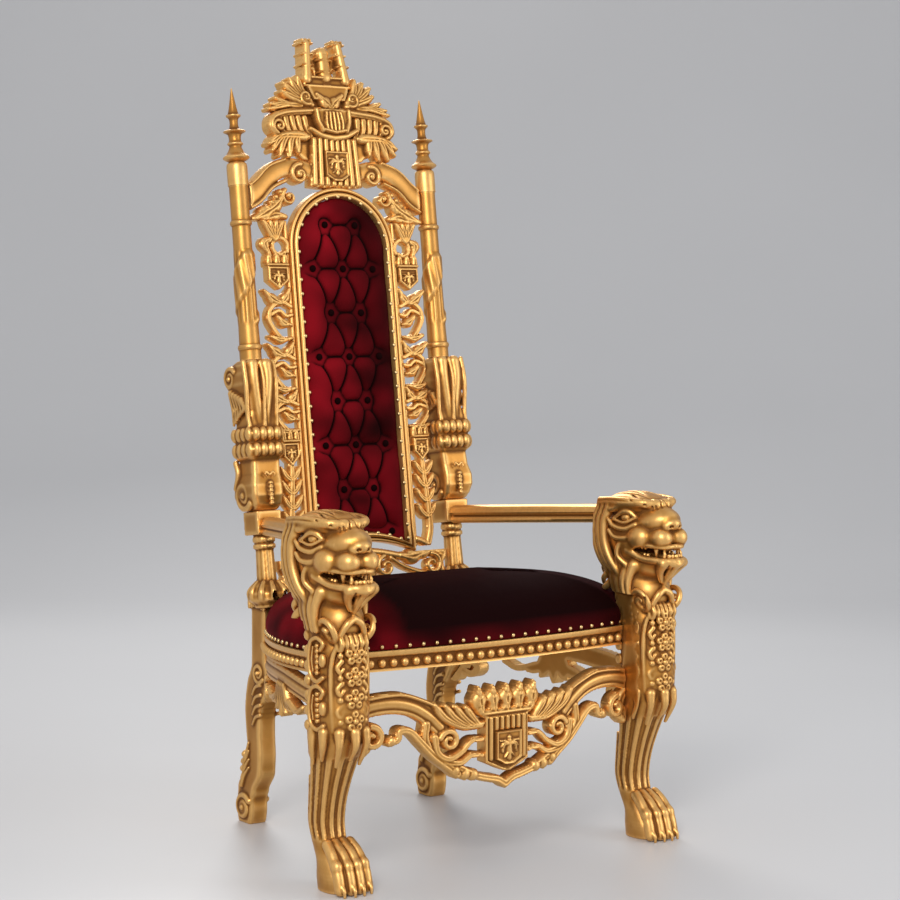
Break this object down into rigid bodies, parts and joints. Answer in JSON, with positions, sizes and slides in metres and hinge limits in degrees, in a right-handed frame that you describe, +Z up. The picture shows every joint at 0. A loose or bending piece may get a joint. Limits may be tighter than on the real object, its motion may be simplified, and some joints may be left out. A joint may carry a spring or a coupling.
{
  "type": "carved throne",
  "caption": "High-backed carved and gilded throne with lion legs, pierced back, heraldic crest and crimson velvet seat and back.",
  "frame": {"origin": "on the floor, under the middle of the object's bounding box", "axes": "+Z up, the sitter faces -Y, +X to the right as seen from the front, X = 0 is the symmetry plane"},
  "size_m": [0.996, 0.9064, 1.8985],
  "materials": {
    "gilding": "antique gold paint with a dark brown glaze in the recesses",
    "velvet": "deep crimson cotton velvet",
    "nails": "polished domed upholstery nails"
  },
  "bodies": {
    "root": {"apron_front": "gilding", "apron_left": "gilding", "apron_right": "gilding", "arm_left": "gilding", "arm_right": "gilding", "back_frame": "gilding", "back_pad": "velvet", "column_left": "gilding", "column_right": "gilding", "console_left": "gilding", "console_right": "gilding", "crest": "gilding", "finial_left": "gilding", "finial_right": "gilding", "fret_left": "gilding", "fret_right": "gilding", "front_leg_left": "gilding", "front_leg_right": "gilding", "lower_fret": "gilding", "rear_leg_left": "gilding", "rear_leg_right": "gilding", "seat_cushion": "velvet", "seat_rail_back": "gilding", "seat_rail_front": "gilding", "seat_rail_left": "gilding", "seat_rail_right": "gilding"}
  },
  "joints": []
}
